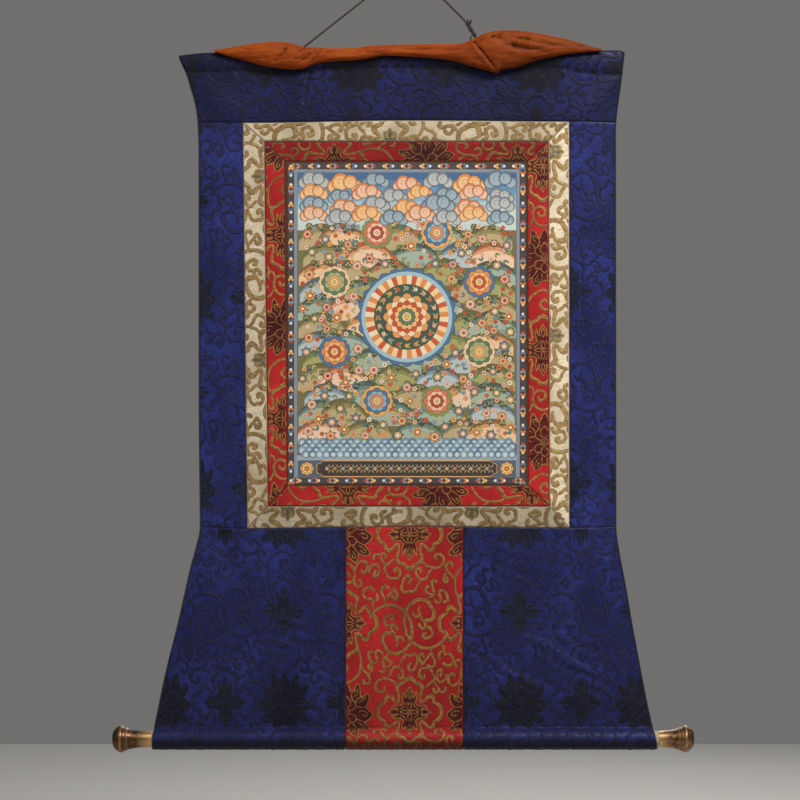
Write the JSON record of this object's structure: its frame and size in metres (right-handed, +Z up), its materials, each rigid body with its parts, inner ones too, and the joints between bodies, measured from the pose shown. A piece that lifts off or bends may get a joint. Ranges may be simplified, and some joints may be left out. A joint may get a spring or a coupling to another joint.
{
  "type": "thangka scroll painting with its bottom rod",
  "caption": "Painted cloth framed in brocade borders on a wide blue mounting, hung by a cord, with a gathered silk veil on top and a knobbed rod in its bottom hem.",
  "frame": {"origin": "the hanging point, under the top of the cord where it passes over its peg", "axes": "+X to the right and +Z up as it hangs, +Y towards the wall; the painted side faces -Y"},
  "size_m": [0.728, 0.0336, 0.9842],
  "materials": {
    "blue_brocade": "satin silk brocade, dark blue with a black figure",
    "red_brocade": "satin silk brocade, crimson with a dull gold figure",
    "cream_brocade": "satin silk brocade, cream with a gold figure",
    "painted_canvas": "matt painted cotton",
    "veil_silk": "thin orange-brown silk",
    "cord_fibre": "twisted dark cord",
    "piping": "dark grey-green edge piping",
    "rod_wood": "bare wood",
    "knob_brass": "aged brass"
  },
  "bodies": {
    "root": {"heading_panel": "blue_brocade", "side_panel_left": "blue_brocade", "side_panel_right": "blue_brocade", "lower_panel_left": "blue_brocade", "lower_panel_right": "blue_brocade", "door_panel": "red_brocade", "cream_strip_top": "cream_brocade", "cream_strip_bottom": "cream_brocade", "cream_strip_left": "cream_brocade", "cream_strip_right": "cream_brocade", "red_strip_top": "red_brocade", "red_strip_bottom": "red_brocade", "red_strip_left": "red_brocade", "red_strip_right": "red_brocade", "painting": "painted_canvas", "edge_piping_left": "piping", "edge_piping_right": "piping", "silk_veil": "veil_silk", "hanging_cord": "cord_fibre", "cord_tail": "cord_fibre", "tie_knot": "cord_fibre", "bottom_rod": "rod_wood", "knob_left": "knob_brass", "knob_right": "knob_brass"}
  },
  "joints": []
}
